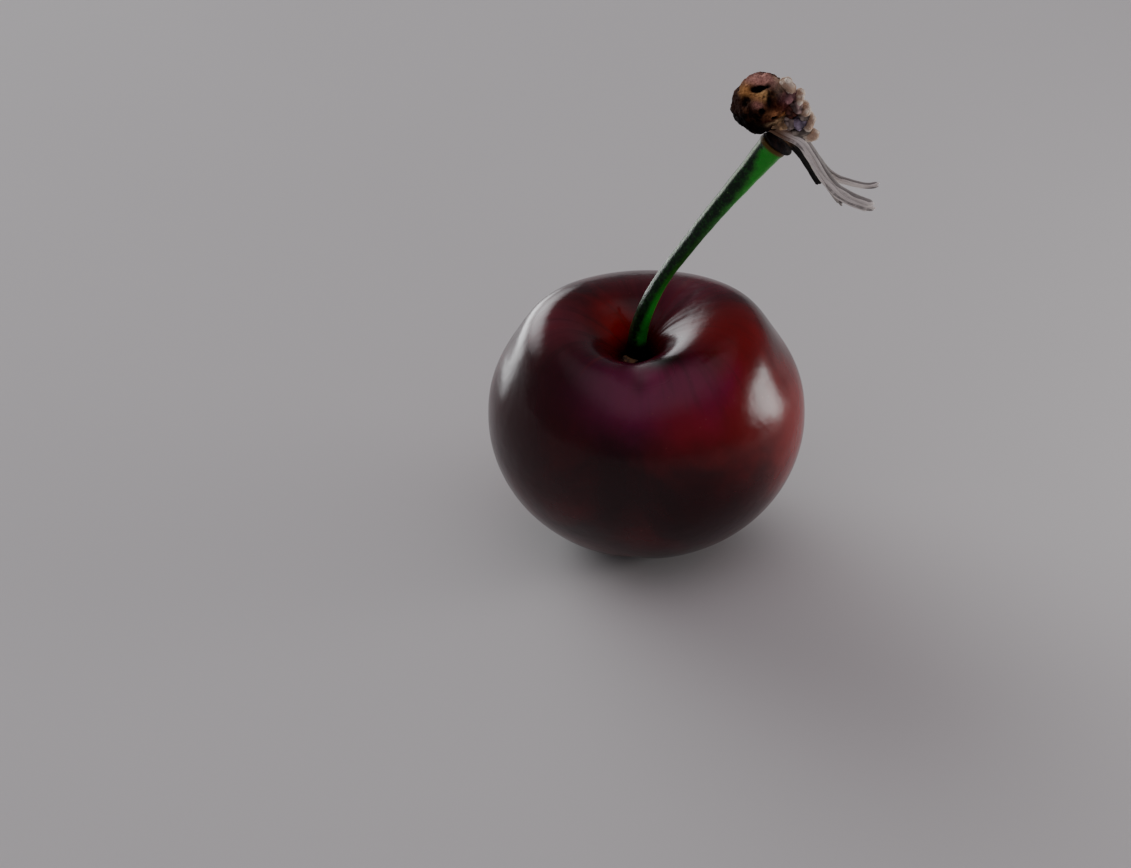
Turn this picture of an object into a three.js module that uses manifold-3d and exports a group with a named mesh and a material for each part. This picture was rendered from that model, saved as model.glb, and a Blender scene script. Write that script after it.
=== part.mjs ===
// A whole sweet cherry on its green stem, with the dry brown knob and bud scales still on the stem's end.
// Millimetres, +Z up. The fruit stands on the small flat spot that its own weight presses, at Z = 0, with
// the origin under the middle of the fruit. The suture, the fruit's seam, faces the front, -Y.

import * as THREE from "three";
import { mergeVertices } from "three/addons/utils/BufferGeometryUtils.js";
import Module from "manifold-3d";

const wasm = await Module();
wasm.setup();

// ---- Driving dimensions ----

const FRUIT_WIDTH = 28; // cheek to cheek, along X
const FRUIT_DEPTH = 26.2; // suture to back, along Y
const SHOULDER_REACH = 12.45; // centre to where the stem end would be without its hollow
const APEX_REACH = 12.6; // centre to the blossom end
const CENTRE_HEIGHT = 12.1; // the fruit's centre above the surface that it stands on
const LEAN_FORWARD = THREE.MathUtils.degToRad(4.5); // the core leans towards the front
const LEAN_SIDE = THREE.MathUtils.degToRad(-1.2); // and a little to the left

const STEM_RADIUS = 0.6; // at its thinnest
const STEM_FOOT_FLARE = { adds: 0.27, spread: 0.24 }; // the spread is a share of the length
const STEM_TOP_FLARE = { adds: 0.6, power: 3.2 }; // the higher the power, the nearer the top it starts
const STEM_SIDES = 14;
const STEM_STEPS = 34;
const CLEARANCE = 0.3; // between pieces that touch

// The fruit's profile. A polar angle runs from the stem end, in radians.
const SHOULDER_SQUARENESS = 2.3; // 2 is an ellipse, and more is squarer
const BASIN = { depth: 0.2, angle: 0.475, edge: 3.2 }; // the wide hollow round the stem
const FUNNEL = { depth: 0.3, angle: 0.29, edge: 3 }; // the narrow pit that the stem stands in
const FUNNEL_OFFSET = -0.134; // the pit is a little left of the core
const CHEEKS = { rise: 0.052, at: 0.635, spread: 0.3 }; // left and right shoulders stand higher
const SHOULDER_SLOPE = { depth: 0.045, at: 1.06, spread: 0.24 }; // the skin falls away below them
const SLOPE_ALL_ROUND = 0.55; // the share of that slope which the front and back have too
const SUTURE = { depth: 0.03, halfWidth: 0.12, along: 0.35, lip: 1, lipAt: 0.55, lipSpread: 0.3 };
const SUTURE_TOP_GAP = 0.3; // the suture fades out this near the core
const FRONT_EDGE = 0.06; // how sharply it ends at the sides

const FRUIT_AROUND = 60;
const FRUIT_DOWN = 44;
const RINGS_TO_STEM = 1.35; // over 1 gathers the rings in the hollow
const FLAT_CUTTER = { width: 60, height: 20 }; // takes away what would be under the surface

// Centreline of the stem, from the foot in the hollow to the cut top, from the fruit's centre.
const STEM_PATH = [
  [-1.0, -0.55, 7.15],
  [-0.9, -0.7, 8.5],
  [-0.3, -1.1, 11.5],
  [1.1, -1.6, 15.1],
  [3.1, -2.1, 18.6],
  [5.15, -2.6, 22.0],
  [7.3, -2.9, 25.2],
  [9.95, -3.1, 29.0],
];

const KNOB_CENTRE = [9.15, -2.6, 32.65];
const KNOB_HALF = [2.5, 2.1, 2.15]; // half of its length, depth and thickness
const KNOB_TURN = 0.6; // its length runs down to the right
const KNOB_LUMPS = { waves: 4.2, height: 0.035 };
const KNOB_SIDES = 28;
const KNOB_RINGS = 20;

// The dark ring of bark between the stem's top and the knob.
const COLLAR = { lowRadius: 1.2, highRadius: 1.0, thickness: 0.4, sides: 16, steps: 2 };

// The crumpled bud scales, down the knob's right side: where each is, its half sizes outwards, in depth
// and across, and the angle above level that it points at.
const BUD_SCALES = [
  { at: [11.3, -2.9, 34.7], half: [0.5, 0.85, 0.7], turn: 0.85 },
  { at: [12.15, -3.0, 33.35], half: [0.5, 0.95, 0.66], turn: 0.45 },
  { at: [12.6, -3.05, 32.05], half: [0.65, 1.0, 0.52], turn: 0.0 },
  { at: [12.7, -3.1, 30.95], half: [0.85, 1.0, 0.42], turn: -0.2 },
  { at: [12.7, -3.2, 29.95], half: [0.9, 0.9, 0.34], turn: -0.3 },
];
const BUD_SCALE_LUMPS = { waves: 2.6, height: 0.07, shift: 1.7 }; // the shift makes each scale differ
const BUD_SCALE_SIDES = 14;
const BUD_SCALE_RINGS = 10;

// The dry strips of bract that hang from the last bud scale. Half sizes are across a strip and through it,
// and tipShare is the share of its width that is left at its tip.
const STRIP_SIDES = 10;
const STRIP_STEPS = 14;
const BRACT_STRIPS = [
  {
    name: "bract_strip_upper",
    path: [
      [13.15, -3.1, 29.2],
      [13.85, -3.2, 28.1],
      [14.4, -3.3, 27.0],
      [15.2, -3.35, 26.15],
      [16.3, -3.4, 25.75],
      [17.5, -3.45, 25.45],
      [19.2, -3.5, 25.7],
    ],
    half: [0.36, 0.18],
    tipShare: 0.7,
  },
  {
    name: "bract_strip_lower",
    path: [
      [12.4, -3.85, 29.15],
      [13.15, -4.0, 28.2],
      [14.0, -4.15, 27.0],
      [15.0, -4.3, 25.9],
      [16.45, -4.4, 24.8],
      [17.75, -4.5, 24.1],
      [18.95, -4.6, 23.9],
    ],
    half: [0.46, 0.2],
    tipShare: 0.8,
  },
  {
    name: "bract_strip_short",
    path: [
      [12.55, -3.3, 28.2],
      [13.3, -3.4, 27.0],
      [14.1, -3.45, 25.9],
      [15.0, -3.45, 24.8],
      [16.1, -3.5, 23.55],
    ],
    half: [0.3, 0.14],
    tipShare: 0.5,
  },
  {
    name: "bract_strip_dark",
    path: [
      [11.9, -2.55, 28.75],
      [12.75, -2.65, 27.45],
      [13.6, -2.7, 26.2],
      [14.35, -2.75, 25.15],
    ],
    half: [0.38, 0.15],
    tipShare: 0.8,
  },
];

// ---- Shared shapes ----

const bell = (distance, spread, edge = 2) => Math.exp(-Math.pow(Math.abs(distance / spread), edge));

// Moves each vertex of a three.js geometry to the point that place() gives for it.
function reshape(geometry, place) {
  const position = geometry.attributes.position;
  const point = new THREE.Vector3();
  for (let i = 0; i < position.count; i++) {
    place(point.fromBufferAttribute(position, i));
    position.setXYZ(i, point.x, point.y, point.z);
  }
  geometry.computeVertexNormals();
  return geometry;
}

// A closed cylinder bent along a curve. section(share) gives its half sizes at a share of the length.
function bentRod(points, sides, steps, section) {
  const curve = new THREE.CatmullRomCurve3(points.map((p) => new THREE.Vector3(...p)));
  const depth = new THREE.Vector3(0, 1, 0);
  return reshape(new THREE.CylinderGeometry(1, 1, 1, sides, steps), (p) => {
    const share = p.y + 0.5;
    const centre = curve.getPointAt(share);
    const along = curve.getTangentAt(share);
    const side = new THREE.Vector3().crossVectors(depth, along).normalize();
    const through = new THREE.Vector3().crossVectors(along, side);
    const [halfWidth, halfThickness] = section(share);
    const u = p.x * halfWidth;
    const v = -p.z * halfThickness;
    p.copy(centre).addScaledVector(side, u).addScaledVector(through, v);
  });
}

function toManifold(geometry) {
  const bare = geometry.clone();
  bare.deleteAttribute("normal");
  bare.deleteAttribute("uv");
  const merged = mergeVertices(bare);
  return new wasm.Manifold(
    new wasm.Mesh({
      numProp: 3,
      vertProperties: new Float32Array(merged.attributes.position.array),
      triVerts: new Uint32Array(merged.index.array),
    }),
  );
}

function fromManifold(solid) {
  const mesh = solid.getMesh();
  const geometry = new THREE.BufferGeometry();
  geometry.setAttribute("position", new THREE.BufferAttribute(new Float32Array(mesh.vertProperties), 3));
  geometry.setIndex(new THREE.BufferAttribute(new Uint32Array(mesh.triVerts), 1));
  geometry.computeVertexNormals();
  return geometry;
}

function named(name, geometry, material) {
  const mesh = new THREE.Mesh(geometry, material);
  mesh.name = name;
  return mesh;
}

// ---- Materials ----

const finish = (color, roughness) => new THREE.MeshStandardMaterial({ color, roughness, metalness: 0 });
const skin = finish(0x4a0a16, 0.15);
const stemGreen = finish(0x1f5c1c, 0.45);
const knobBrown = finish(0x6b4430, 0.8);
const collarBrown = finish(0x24130d, 0.8);
const scaleGrey = finish(0x9b8a80, 0.85);
const stripGrey = finish(0xa39890, 0.85);
const stripDark = finish(0x2c201b, 0.85);

// ---- The fruit ----

// How far the skin is from the core's middle in a direction, for a fruit of half width 1.
function skinReach(d) {
  const polar = Math.acos(THREE.MathUtils.clamp(d.z, -1, 1));
  const across = Math.hypot(d.x, d.y);
  const top = d.z > 0;
  const reach = (top ? SHOULDER_REACH : APEX_REACH) / (FRUIT_WIDTH / 2);
  const power = top ? SHOULDER_SQUARENESS : 2;
  const body = Math.pow(Math.pow(across, power) + Math.pow(Math.abs(d.z) / reach, power), -1 / power);

  const fromFunnel = d.angleTo(new THREE.Vector3(FUNNEL_OFFSET, 0, 1));
  const basin = BASIN.depth * bell(polar, BASIN.angle, BASIN.edge);
  const funnel = FUNNEL.depth * bell(fromFunnel, FUNNEL.angle, FUNNEL.edge);

  const leftRight = (d.x * d.x - d.y * d.y) / Math.max(across * across, 1e-6);
  const cheeks = 1 + CHEEKS.rise * leftRight * bell(polar - CHEEKS.at, CHEEKS.spread);
  const atSlope = bell(polar - SHOULDER_SLOPE.at, SHOULDER_SLOPE.spread);
  const slopeHere = SLOPE_ALL_ROUND + (1 - SLOPE_ALL_ROUND) * leftRight;
  const slope = 1 - SHOULDER_SLOPE.depth * slopeHere * atSlope;

  const facingFront = 1 / (1 + Math.exp(d.y / FRONT_EDGE));
  const alongSeam = SUTURE.along + SUTURE.lip * bell(polar - SUTURE.lipAt, SUTURE.lipSpread);
  const seam = bell(d.x, SUTURE.halfWidth) * facingFront * alongSeam * (1 - bell(polar, SUTURE_TOP_GAP));
  return body * (1 - basin - funnel) * cheeks * slope * (1 - SUTURE.depth * seam);
}

function fruitGeometry() {
  const sphere = new THREE.SphereGeometry(1, FRUIT_AROUND, FRUIT_DOWN).rotateX(Math.PI / 2);
  const direction = new THREE.Vector3();
  return reshape(sphere, (p) => {
    const share = Math.acos(THREE.MathUtils.clamp(p.z, -1, 1)) / Math.PI;
    const azimuth = Math.atan2(p.y, p.x);
    const polar = Math.PI * Math.pow(share, RINGS_TO_STEM);
    const across = Math.sin(polar);
    direction.set(across * Math.cos(azimuth), across * Math.sin(azimuth), Math.cos(polar));
    const reach = skinReach(direction);
    p.set(
      (direction.x * reach * FRUIT_WIDTH) / 2,
      (direction.y * reach * FRUIT_DEPTH) / 2,
      (direction.z * reach * FRUIT_WIDTH) / 2,
    );
  });
}

// The fruit, leaning on its core, with its underside pressed flat where it stands.
function makeFruit() {
  const fruit = named("fruit", new THREE.BufferGeometry(), skin);
  fruit.rotation.set(LEAN_FORWARD, LEAN_SIDE, 0);
  fruit.updateMatrix();
  const cutter = new THREE.BoxGeometry(FLAT_CUTTER.width, FLAT_CUTTER.width, FLAT_CUTTER.height);
  cutter.translate(0, 0, -FLAT_CUTTER.height / 2 - CENTRE_HEIGHT);
  cutter.applyMatrix4(fruit.matrix.clone().invert());
  fruit.geometry = fromManifold(toManifold(fruitGeometry()).subtract(toManifold(cutter)));
  return fruit;
}

// ---- The stem ----

function stemSection(share) {
  const foot = STEM_FOOT_FLARE.adds * bell(share, STEM_FOOT_FLARE.spread);
  const top = STEM_TOP_FLARE.adds * Math.pow(share, STEM_TOP_FLARE.power);
  const radius = STEM_RADIUS + foot + top;
  return [radius, radius];
}

const makeStem = () => named("stem", bentRod(STEM_PATH, STEM_SIDES, STEM_STEPS, stemSection), stemGreen);

// ---- The dry end ----

// A closed ball with the given half sizes, dimpled like dry wood by two pairs of waves that cross.
function lumpyBall(half, sides, rings, { waves, height }, shift = 0) {
  return reshape(new THREE.SphereGeometry(1, sides, rings), (p) => {
    const level = Math.sin(waves * p.x + 1.3 + shift) * Math.sin(waves * p.y + 0.4);
    const upright = Math.sin(waves * 1.3 * p.z + 2.1) * Math.sin(waves * p.x - 0.7 + shift);
    const reach = 1 + height * (level + upright);
    p.set(p.x * half[0] * reach, p.y * half[1] * reach, p.z * half[2] * reach);
  });
}

function makeKnob() {
  const knob = named("stem_knob", lumpyBall(KNOB_HALF, KNOB_SIDES, KNOB_RINGS, KNOB_LUMPS), knobBrown);
  knob.position.set(...KNOB_CENTRE);
  knob.rotation.y = KNOB_TURN;
  return knob;
}

// The collar continues the stem's last stretch, just clear of its top.
function makeCollar() {
  const [before, top] = STEM_PATH.slice(-2).map((p) => new THREE.Vector3(...p));
  const outwards = top.clone().sub(before).normalize();
  const path = [0, 0.5, 1].map((share) =>
    top.clone().addScaledVector(outwards, CLEARANCE + share * COLLAR.thickness).toArray(),
  );
  const section = (share) => {
    const radius = THREE.MathUtils.lerp(COLLAR.lowRadius, COLLAR.highRadius, share);
    return [radius, radius];
  };
  return named("knob_collar", bentRod(path, COLLAR.sides, COLLAR.steps, section), collarBrown);
}

function makeBudScale({ at, half, turn }, index) {
  const shift = index * BUD_SCALE_LUMPS.shift;
  const ball = lumpyBall(half, BUD_SCALE_SIDES, BUD_SCALE_RINGS, BUD_SCALE_LUMPS, shift);
  const scale = named(`bud_scale_${index + 1}`, ball, scaleGrey);
  scale.position.set(...at);
  scale.rotation.y = -turn;
  return scale;
}

function makeBractStrip({ name, path, half, tipShare }) {
  const section = (share) => {
    const taper = 1 - (1 - tipShare) * share;
    return [half[0] * taper, half[1] * taper];
  };
  const material = name.endsWith("dark") ? stripDark : stripGrey;
  return named(name, bentRod(path, STRIP_SIDES, STRIP_STEPS, section), material);
}

// ---- The whole cherry ----

const cherry = new THREE.Group();
const fromFruitCentre = new THREE.Group();
fromFruitCentre.position.z = CENTRE_HEIGHT;
fromFruitCentre.add(makeFruit(), makeStem(), makeCollar(), makeKnob());
fromFruitCentre.add(...BUD_SCALES.map(makeBudScale), ...BRACT_STRIPS.map(makeBractStrip));
cherry.add(fromFruitCentre);

export default cherry;
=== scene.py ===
"""A whole dark sweet cherry on its green stem, with the dry brown end of the spur that it grew on.

Laid out as an add-on: property groups hold the sizes and colours, one operator makes each piece or group
of like pieces, and a panel lists them. Sizes in the code are millimetres unless they are named otherwise,
and MM turns them into metres.
"""

import math

import bpy
from bpy.props import FloatProperty, FloatVectorProperty, IntProperty, PointerProperty
from mathutils import Matrix, Vector


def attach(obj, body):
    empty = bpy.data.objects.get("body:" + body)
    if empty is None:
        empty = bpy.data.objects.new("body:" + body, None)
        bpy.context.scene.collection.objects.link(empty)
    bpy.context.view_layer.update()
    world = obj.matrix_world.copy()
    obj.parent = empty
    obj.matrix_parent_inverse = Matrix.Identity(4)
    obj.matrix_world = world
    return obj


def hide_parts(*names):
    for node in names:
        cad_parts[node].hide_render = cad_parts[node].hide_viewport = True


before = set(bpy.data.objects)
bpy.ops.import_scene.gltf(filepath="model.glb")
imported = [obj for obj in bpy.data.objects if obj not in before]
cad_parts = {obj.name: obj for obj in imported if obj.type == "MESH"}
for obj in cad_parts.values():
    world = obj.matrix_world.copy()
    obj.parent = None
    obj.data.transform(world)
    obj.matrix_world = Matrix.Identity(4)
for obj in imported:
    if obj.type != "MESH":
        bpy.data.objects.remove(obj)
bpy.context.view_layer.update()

bl_info = {
    "name": "Cherry",
    "version": (1, 0, 0),
    "blender": (4, 5, 0),
    "location": "View3D > Sidebar > Cherry",
    "description": "Makes a dark sweet cherry with its stem and the dry end of its spur",
    "category": "Object",
}

MM = 0.001
BODY = "root"
FRUIT_CENTRE = Vector((0, 0, 12.1)) * MM  # straight above the flat spot that the fruit stands on
CURVE_STEPS = 24  # between two points that a smooth curve is drawn through


# ---- Colours ----


def linear(red, green, blue):
    """A colour from its 0 to 255 screen values, in the linear values that Blender's sockets take."""
    shares = [value / 255 for value in (red, green, blue)]
    return tuple(s / 12.92 if s <= 0.04045 else ((s + 0.055) / 1.055) ** 2.4 for s in shares)


def opaque(colour):
    return (*colour, 1.0)


def darker(colour, share):
    return tuple(channel * share for channel in colour)


# ---- Node trees ----


class Field:
    """A number that a node tree works out at each point. Python's arithmetic on it adds Math nodes."""

    def __init__(self, tree, socket):
        self.tree = tree
        self.socket = socket

    def __add__(self, other):
        return calculate(self.tree, "ADD", self, other)

    def __radd__(self, other):
        return calculate(self.tree, "ADD", other, self)

    def __sub__(self, other):
        return calculate(self.tree, "SUBTRACT", self, other)

    def __rsub__(self, other):
        return calculate(self.tree, "SUBTRACT", other, self)

    def __mul__(self, other):
        return calculate(self.tree, "MULTIPLY", self, other)

    def __rmul__(self, other):
        return calculate(self.tree, "MULTIPLY", other, self)

    def __truediv__(self, other):
        return calculate(self.tree, "DIVIDE", self, other)

    def __rtruediv__(self, other):
        return calculate(self.tree, "DIVIDE", other, self)

    def __pow__(self, other):
        return calculate(self.tree, "POWER", self, other)

    def __neg__(self):
        return calculate(self.tree, "MULTIPLY", self, -1.0)

    def __abs__(self):
        return calculate(self.tree, "ABSOLUTE", self)


def plug(tree, socket, value):
    """Links a Field or an output socket to an input socket, or sets the input to a plain value."""
    if isinstance(value, Field):
        tree.links.new(value.socket, socket)
    elif isinstance(value, bpy.types.NodeSocket):
        tree.links.new(value, socket)
    else:
        socket.default_value = value


def add_node(tree, kind, inputs=None, **settings):
    """A new node with its settings and its inputs, named or counted, filled in."""
    node = tree.nodes.new(kind)
    for name, value in settings.items():
        setattr(node, name, value)
    for key, value in (inputs or {}).items():
        plug(tree, node.inputs[key], value)
    return node


def calculate(tree, operation, *values):
    node = add_node(tree, "ShaderNodeMath", dict(enumerate(values)), operation=operation)
    return Field(tree, node.outputs["Value"])


def bell(distance, spread, edge=2):
    """1 where distance is 0, falling to 0 past spread, and the more suddenly the higher edge is."""
    return calculate(distance.tree, "EXPONENT", -(abs(distance / spread) ** edge))


def step(field, start, end):
    """0 up to start, 1 from end on, and a smooth rise between."""
    inputs = {"Value": field, "From Min": start, "From Max": end}
    node = add_node(field.tree, "ShaderNodeMapRange", inputs, interpolation_type="SMOOTHSTEP")
    return Field(field.tree, node.outputs["Result"])


def vector_of(tree, x, y, z):
    return add_node(tree, "ShaderNodeCombineXYZ", {"X": x, "Y": y, "Z": z}).outputs["Vector"]


def parts_of(tree, vector):
    node = add_node(tree, "ShaderNodeSeparateXYZ", {"Vector": vector})
    return [Field(tree, node.outputs[axis]) for axis in "XYZ"]


def vector_math(tree, operation, *values):
    node = add_node(tree, "ShaderNodeVectorMath", dict(enumerate(values)), operation=operation)
    return node.outputs["Vector"]


def scaled(tree, vector, factor):
    node = add_node(tree, "ShaderNodeVectorMath", {0: vector, "Scale": factor}, operation="SCALE")
    return node.outputs["Vector"]


def length_of(tree, vector):
    node = add_node(tree, "ShaderNodeVectorMath", {0: vector}, operation="LENGTH")
    return Field(tree, node.outputs["Value"])


def dot(tree, first, second):
    node = add_node(tree, "ShaderNodeVectorMath", {0: first, 1: second}, operation="DOT_PRODUCT")
    return Field(tree, node.outputs["Value"])


def turned(tree, vector, axis, angle):
    inputs = {"Vector": vector, "Axis": axis, "Angle": angle}
    node = add_node(tree, "ShaderNodeVectorRotate", inputs, rotation_type="AXIS_ANGLE")
    return node.outputs["Vector"]


def noise(tree, vector, scale, detail=2.0, roughness=0.5, distortion=0.0):
    """Soft noise from 0 to 1, with scale waves for each unit of vector."""
    inputs = {"Vector": vector, "Scale": scale, "Detail": detail, "Roughness": roughness}
    inputs["Distortion"] = distortion
    node = add_node(tree, "ShaderNodeTexNoise", inputs, noise_dimensions="3D")
    return Field(tree, node.outputs["Fac"])


def cells(tree, vector, scale, randomness=1.0):
    """The distance from the nearest of many scattered points, in units of their spacing."""
    inputs = {"Vector": vector, "Scale": scale, "Randomness": randomness}
    node = add_node(tree, "ShaderNodeTexVoronoi", inputs)
    return Field(tree, node.outputs["Distance"])


# ---- Geometry trees ----


def geometry_tree(name, **inputs):
    """A new geometry tree, and its inputs as Fields. Each kind of input comes with its labels, and every
    tree has a geometry and a material too."""
    tree = bpy.data.node_groups.new(name, "GeometryNodeTree")
    kinds = {"Geometry": ["Geometry"], **inputs, "Material": ["Material"]}
    for kind, labels in kinds.items():
        for label in labels:
            tree.interface.new_socket(label, in_out="INPUT", socket_type=f"NodeSocket{kind}")
    tree.interface.new_socket("Geometry", in_out="OUTPUT", socket_type="NodeSocketGeometry")
    start = tree.nodes.new("NodeGroupInput")
    given = {label: Field(tree, start.outputs[label]) for labels in kinds.values() for label in labels}
    return tree, given


def end_tree(tree, geometry, material):
    smooth = add_node(tree, "GeometryNodeSetShadeSmooth", {"Geometry": geometry})
    real = add_node(tree, "GeometryNodeRealizeInstances", {"Geometry": smooth.outputs["Geometry"]})
    inputs = {"Geometry": real.outputs["Geometry"], "Material": material}
    finished = add_node(tree, "GeometryNodeSetMaterial", inputs)
    add_node(tree, "NodeGroupOutput", {"Geometry": finished.outputs["Geometry"]})


def set_position(tree, geometry, position):
    node = add_node(tree, "GeometryNodeSetPosition", {"Geometry": geometry, "Position": position})
    return node.outputs["Geometry"]


def push_out(tree, geometry, height):
    """Moves each point along its normal."""
    normal = tree.nodes.new("GeometryNodeInputNormal").outputs["Normal"]
    offset = scaled(tree, normal, height)
    node = add_node(tree, "GeometryNodeSetPosition", {"Geometry": geometry, "Offset": offset})
    return node.outputs["Geometry"]


def store(tree, geometry, name, value, kind="FLOAT"):
    inputs = {"Geometry": geometry, "Name": name, "Value": value}
    node = add_node(tree, "GeometryNodeStoreNamedAttribute", inputs, data_type=kind, domain="POINT")
    return node.outputs["Geometry"]


def stored(tree, name):
    node = add_node(tree, "GeometryNodeInputNamedAttribute", {"Name": name}, data_type="FLOAT")
    return Field(tree, node.outputs["Attribute"])


def position_of(tree):
    return tree.nodes.new("GeometryNodeInputPosition").outputs["Position"]


def smooth_curve(tree, mesh):
    """A smooth curve through a line mesh's points."""
    line = add_node(tree, "GeometryNodeMeshToCurve", {"Mesh": mesh}).outputs["Curve"]
    bent = add_node(tree, "GeometryNodeCurveSplineType", {"Curve": line}, spline_type="CATMULL_ROM")
    inputs = {"Geometry": bent.outputs["Curve"], "Resolution": CURVE_STEPS}
    return add_node(tree, "GeometryNodeSetSplineResolution", inputs).outputs["Geometry"]


def evenly_spaced(tree, curve, count):
    inputs = {"Curve": curve, "Count": count}
    return add_node(tree, "GeometryNodeResampleCurve", inputs).outputs["Curve"]


def along_spline(tree):
    """0 at a spline's start and 1 at its end."""
    return Field(tree, tree.nodes.new("GeometryNodeSplineParameter").outputs["Factor"])


def tube(tree, curve, radius, sides):
    """A closed round skin along a curve. The way round is stored from 0 to 1."""
    circle = add_node(tree, "GeometryNodeCurvePrimitiveCircle", {"Resolution": sides, "Radius": 1.0})
    section = store(tree, circle.outputs["Curve"], "around", along_spline(tree))
    inputs = {"Curve": curve, "Profile Curve": section, "Scale": radius, "Fill Caps": True}
    return add_node(tree, "GeometryNodeCurveToMesh", inputs).outputs["Mesh"]


def line_mesh(points):
    """A mesh of one bent line through points given in millimetres from the fruit's centre."""
    mesh = bpy.data.meshes.new("line")
    places = [FRUIT_CENTRE + Vector(p) * MM for p in points]
    mesh.from_pydata(places, [(i, i + 1) for i in range(len(places) - 1)], [])
    return mesh


def grow(name, tree, values, base=None):
    """Runs a geometry tree once, on a base mesh if it needs one, and makes a plain mesh object of it."""
    base = base or bpy.data.meshes.new("empty")
    seedling = bpy.data.objects.new("seedling", base)
    bpy.context.scene.collection.objects.link(seedling)
    modifier = seedling.modifiers.new("grow", "NODES")
    modifier.node_group = tree
    for item in tree.interface.items_tree:
        if item.in_out == "INPUT" and item.name in values:
            modifier[item.identifier] = values[item.name]
    depsgraph = bpy.context.evaluated_depsgraph_get()
    mesh = bpy.data.meshes.new_from_object(
        seedling.evaluated_get(depsgraph), preserve_all_data_layers=True, depsgraph=depsgraph
    )
    bpy.data.objects.remove(seedling)
    mesh.name = name
    if not mesh.polygons:
        raise RuntimeError(f"{name} came out empty")
    mesh.materials.clear()  # a primitive node leaves an empty slot before its material
    mesh.materials.append(values["Material"])
    piece = bpy.data.objects.new(name, mesh)
    bpy.context.scene.collection.objects.link(piece)
    return piece


def settle(piece, slot, *nodes):
    """Ties a finished piece to the frame, in place of the CAD nodes that it stands for."""
    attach(piece, BODY)
    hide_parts(*nodes)


# ---- Materials ----

# Where a Mix node keeps its share, its two colours and its mixed colour, among sockets of the same names.
MIX_SHARE = 0
MIX_COLOURS = (6, 7)
MIX_RESULT = 2


class Finish:
    """A procedural material. Its place is in millimetres from the fruit's centre."""

    def __init__(self, name, roughness, **sockets):
        self.material = bpy.data.materials.new(name)
        self.material.use_nodes = True
        self.tree = self.material.node_tree
        self.shader = self.tree.nodes["Principled BSDF"]
        self.shader.inputs["Roughness"].default_value = roughness
        for socket, value in sockets.items():
            self.shader.inputs[socket.replace("_", " ")].default_value = value
        place = self.tree.nodes.new("ShaderNodeTexCoord").outputs["Object"]
        from_centre = vector_math(self.tree, "SUBTRACT", place, FRUIT_CENTRE)
        self.place = scaled(self.tree, from_centre, 1 / MM)

    def attribute(self, name):
        node = add_node(self.tree, "ShaderNodeAttribute", attribute_name=name)
        return Field(self.tree, node.outputs["Fac"])

    def attribute_vector(self, name):
        return add_node(self.tree, "ShaderNodeAttribute", attribute_name=name).outputs["Vector"]

    def mix(self, share, first, second):
        node = self.tree.nodes.new("ShaderNodeMix")
        node.data_type = "RGBA"
        node.clamp_factor = True
        plug(self.tree, node.inputs[MIX_SHARE], share)
        for place, colour in zip(MIX_COLOURS, (first, second)):
            plug(self.tree, node.inputs[place], opaque(colour) if isinstance(colour, tuple) else colour)
        return node.outputs[MIX_RESULT]

    def noise(self, *waves):
        """Soft noise at the surface, in waves for each millimetre."""
        return noise(self.tree, self.place, *waves)

    def patch(self, at, size, wobble=0.0, waves=0.4):
        """1 at a place on the surface, falling to 0 around it, with an edge that wobbles."""
        offset = vector_math(self.tree, "SUBTRACT", self.place, at)
        distance = length_of(self.tree, vector_math(self.tree, "DIVIDE", offset, size))
        if wobble:
            distance = distance + (self.noise(waves, 3.0) - 0.5) * wobble
        return bell(distance, 1.0, 2.5)

    def colour(self, value):
        plug(self.tree, self.shader.inputs["Base Color"], value)

    def roughness(self, value):
        plug(self.tree, self.shader.inputs["Roughness"], value)

    def bump(self, height, depth_mm):
        inputs = {"Strength": 1.0, "Distance": depth_mm * MM, "Height": height}
        node = add_node(self.tree, "ShaderNodeBump", inputs)
        plug(self.tree, self.shader.inputs["Normal"], node.outputs["Normal"])


# ---- The fruit ----

# The same profile as the frame's fruit. Angles are radians from the stem end, and depths are shares of
# the distance from the fruit's centre.
SHOULDER_SQUARENESS = 2.3
BASIN = {"depth": 0.2, "angle": 0.475, "edge": 3.2}
FUNNEL = {"depth": 0.3, "angle": 0.3, "edge": 2.6, "axis": (-0.134, -0.14, 1)}
CHEEKS = {"rise": 0.052, "at": 0.635, "spread": 0.3}
SHOULDER_SLOPE = {"depth": 0.032, "at": 1.06, "spread": 0.24}
SLOPE_ALL_ROUND = 0.55  # the share of that slope which the front and back have too
SUTURE = {"depth": 0.03, "at": -0.1, "half_width": 0.12, "along": 0.35}
SUTURE_LIP = {"depth": 1.0, "at": 0.55, "spread": 0.3}  # the suture is deeper over the hollow's lip
SUTURE_TOP_GAP = 0.3  # how far from the stem end it starts
FRONT_EDGE = 0.06  # how sharply the suture ends at the sides
RINGS_TO_STEM = 1.35  # over 1 gathers the rings in the hollow
FLAT_EDGE = 0.35  # mm, how softly the skin turns into the flat spot
UNEVENNESS = 0.012  # of the skin, as a share of the distance from the fruit's centre
CREASES = {"at": 0.25, "spread": 0.14}  # where faint creases run into the hollow

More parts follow.
